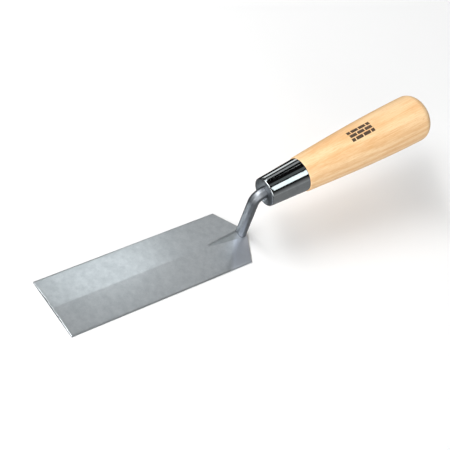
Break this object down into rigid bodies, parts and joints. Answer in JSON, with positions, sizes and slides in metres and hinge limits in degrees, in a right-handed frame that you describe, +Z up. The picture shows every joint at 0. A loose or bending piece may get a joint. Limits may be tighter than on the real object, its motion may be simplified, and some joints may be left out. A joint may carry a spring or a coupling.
{
  "type": "margin trowel",
  "caption": "Rigid hand trowel: long narrow steel blade with a centre ridge, an upright shank with a knuckle bend, a tapered steel ferrule and a turned wooden handle.",
  "frame": {"origin": "middle of the blade's flat sole, on the centreline halfway from the toe to the heel point", "axes": "+X runs along the blade from the toe towards the handle, +Y is to the left of someone looking along +X, +Z is up from the sole towards the handle"},
  "size_m": [0.2422, 0.0382, 0.066],
  "materials": {
    "forged_steel": "ground and lightly brushed, uncoated",
    "plated_steel": "bright plated and smooth",
    "hardwood": "pale straight-grained hardwood under clear satin lacquer",
    "resin": "set dark grey resin, hidden inside the handle"
  },
  "bodies": {
    "root": {"blade_forging": "forged_steel", "ferrule": "plated_steel", "handle": "hardwood", "tang_bond": "resin"}
  },
  "joints": []
}
